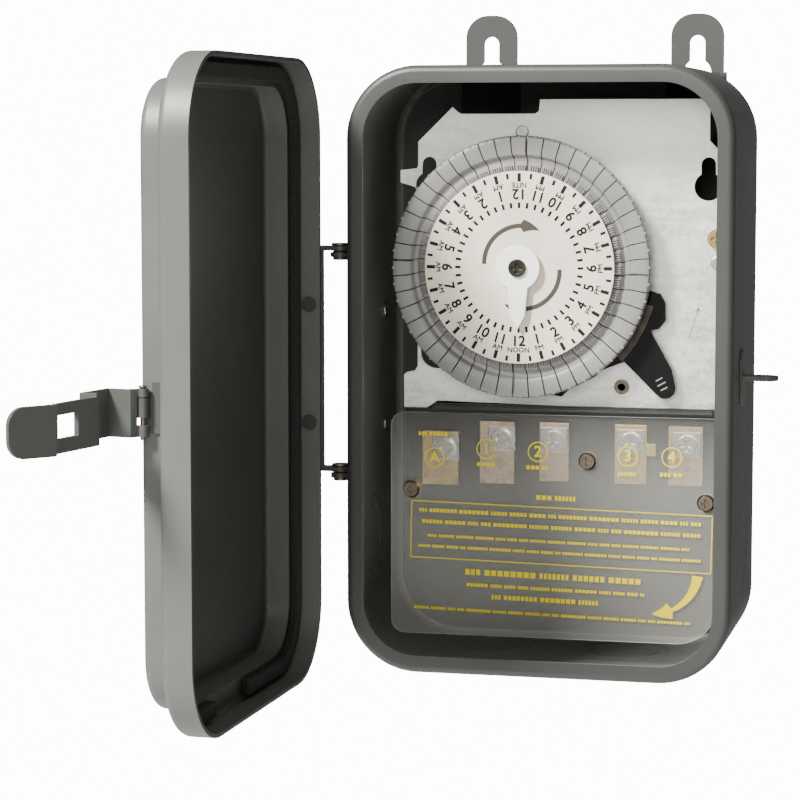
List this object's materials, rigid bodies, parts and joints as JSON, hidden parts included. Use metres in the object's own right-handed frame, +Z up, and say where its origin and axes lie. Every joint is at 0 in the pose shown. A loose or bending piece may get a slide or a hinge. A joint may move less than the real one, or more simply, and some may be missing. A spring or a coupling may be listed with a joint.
{
  "type": "mechanical time switch",
  "caption": "Mechanical 24-hour time switch in a drawn steel wall enclosure with its hinged door open: captive-tripper dial, manual lever, terminal board under a clear sheet, hasp and staple.",
  "frame": {"origin": "centre of the wall side of the box back, halfway up the box", "axes": "X right, Z up, Y into the wall: the mouth of the box faces -Y"},
  "size_m": [0.1855, 0.2291, 0.2131],
  "materials": {
    "box_paint": "satin",
    "door_paint": "satin",
    "bracket_steel": "matte",
    "copper_rivet": "dull",
    "foam": "matte",
    "strap_paint": "satin",
    "galvanised": "spangled",
    "bare_steel": "satin",
    "zinc_yellow": "satin",
    "brass": "satin",
    "nickel": "plated",
    "copper": "satin",
    "black_moulding": "matte",
    "brown_moulding": "matte",
    "natural_nylon": "satin",
    "dial_cream": "satin",
    "tripper_grey": "satin",
    "pointer_white": "satin",
    "dark_screw": "dark",
    "frosted_sheet": "frosted",
    "lead_cover": "matte"
  },
  "bodies": {
    "case": {"box_body": "box_paint", "hanger_ears": "box_paint", "knockout_rings": "box_paint", "knockout_slugs": "box_paint", "hasp_staple": "bracket_steel", "box_hinge_bracket": "bracket_steel", "box_hinge_rivets": "bare_steel", "hinge_pin_upper": "copper_rivet", "hinge_pin_lower": "copper_rivet", "mechanism_plate": "galvanised", "plate_rivets": "bare_steel", "plate_posts": "bare_steel", "plate_screws": "zinc_yellow", "center_stud": "brass", "lever_spacer": "natural_nylon", "time_pointer": "pointer_white", "pointer_screw": "dark_screw", "motor_can": "bare_steel", "motor_gearbox": "bare_steel", "motor_posts": "bare_steel", "motor_screws": "zinc_yellow", "motor_leads": "lead_cover", "terminal_board": "black_moulding", "board_rivets": "brass", "terminal_a": "brass", "terminal_1": "copper", "terminal_2": "copper", "terminal_3": "brass", "terminal_4": "copper", "pressure_plates": "nickel", "terminal_screws": "nickel", "fixed_contacts": "copper", "switch_cover": "brown_moulding", "switch_cover_screws": "zinc_yellow", "insulator_strip": "frosted_sheet", "insulator_posts": "brass", "insulator_screws": "bare_steel"},
    "door": {"door_shell": "door_paint", "door_hinge_bracket": "bracket_steel", "door_hinge_rivets": "bare_steel", "door_gasket": "foam", "hasp_base": "bracket_steel", "hasp_pin": "copper_rivet"},
    "hasp": {"hasp_strap": "strap_paint"},
    "dial": {"dial_hub": "brass", "dial_gear": "natural_nylon", "tripper_carrier": "bare_steel", "dial_disc": "dial_cream", "trippers": "tripper_grey"},
    "east_tripper": {"tripper_east": "tripper_grey"},
    "north_tripper": {"tripper_north": "tripper_grey"},
    "west_tripper": {"tripper_west": "tripper_grey"},
    "south_tripper": {"tripper_south": "tripper_grey"},
    "lever": {"manual_lever": "black_moulding", "trip_plate": "dark_screw", "drive_pin": "natural_nylon"},
    "contacts": {"contact_carrier": "black_moulding", "contact_bridges": "copper"},
    "pinion": {"motor_pinion": "brass"},
    "sheet": {"insulator": "frosted_sheet"}
  },
  "joints": [
    {"name": "door_hinge", "type": "hinge", "parent": "case", "child": "door", "pos_m": [-0.0662, -0.0553, 0], "axis": [0, 0, -1], "range_deg": [-91.4, 43.6]},
    {"name": "hasp_hinge", "type": "hinge", "parent": "door", "child": "hasp", "pos_m": [-0.09074, -0.17934, -0.003], "axis": [0, 0, -1], "range_deg": [-98.6, 60]},
    {"name": "dial_spin", "type": "hinge", "parent": "case", "child": "dial", "pos_m": [-0.0092, 0, 0.0326], "axis": [0, 1, 0], "continuous": true},
    {"name": "pinion_spin", "type": "hinge", "parent": "case", "child": "pinion", "pos_m": [-0.0092, 0, 0.0606], "axis": [0, 1, 0], "continuous": true},
    {"name": "lever_turn", "type": "hinge", "parent": "case", "child": "lever", "pos_m": [-0.0092, 0, 0.0326], "axis": [0, -1, 0], "range_deg": [0, 18]},
    {"name": "contact_slide", "type": "slide", "parent": "case", "child": "contacts", "axis": [1, 0, 0], "range_m": [0, 0.01143]},
    {"name": "sheet_lift", "type": "hinge", "parent": "case", "child": "sheet", "pos_m": [0.0017, -0.0444, -0.0144], "axis": [-1, 0, 0], "range_deg": [0, 110]},
    {"name": "east_tripper_slide", "type": "slide", "parent": "dial", "child": "east_tripper", "axis": [1, 0, 0], "range_m": [0, 0.0025]},
    {"name": "north_tripper_slide", "type": "slide", "parent": "dial", "child": "north_tripper", "axis": [0, 0, 1], "range_m": [0, 0.0025]},
    {"name": "west_tripper_slide", "type": "slide", "parent": "dial", "child": "west_tripper", "axis": [-1, 0, 0], "range_m": [0, 0.0025]},
    {"name": "south_tripper_slide", "type": "slide", "parent": "dial", "child": "south_tripper", "axis": [0, 0, -1], "range_m": [0, 0.0025]}
  ],
  "couplings": [
    {"joint": "pinion_spin", "follows": "dial_spin", "ratio": -6},
    {"joint": "contact_slide", "follows": "lever_turn", "m_per_rad": 0.036392}
  ]
}
